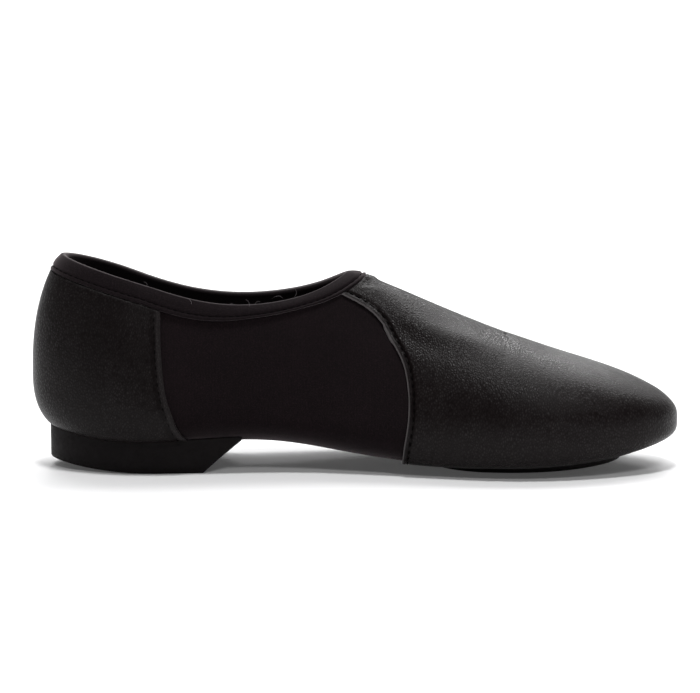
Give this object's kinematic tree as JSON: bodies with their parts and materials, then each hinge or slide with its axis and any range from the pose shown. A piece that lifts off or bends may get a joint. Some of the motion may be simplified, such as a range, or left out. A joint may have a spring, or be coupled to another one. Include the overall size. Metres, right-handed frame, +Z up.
{
  "type": "jazz shoe",
  "caption": "Left slip-on jazz shoe in black leather and stretch fabric, with a split sole: a low heel block and a thin forefoot pad.",
  "frame": {"origin": "on the floor under the middle of the shoe's overall length and width", "axes": "+X to the toe along the shoe's length, +Y to the outer side of the foot, +Z up from the floor the shoe stands on"},
  "size_m": [0.24, 0.0809, 0.0797],
  "materials": {
    "stretch_fabric": "matt black stretch knit over foam",
    "leather": "fine-grained black leather with a satin sheen",
    "binding_fabric": "folded black jersey",
    "insole_fabric": "black lining cloth over cushion foam",
    "rubber": "matt black rubber"
  },
  "bodies": {
    "root": {"upper": "stretch_fabric", "vamp": "leather", "heel_counter": "leather", "collar_binding": "binding_fabric", "insole": "insole_fabric", "heel": "rubber", "forefoot_sole": "rubber"}
  },
  "joints": []
}
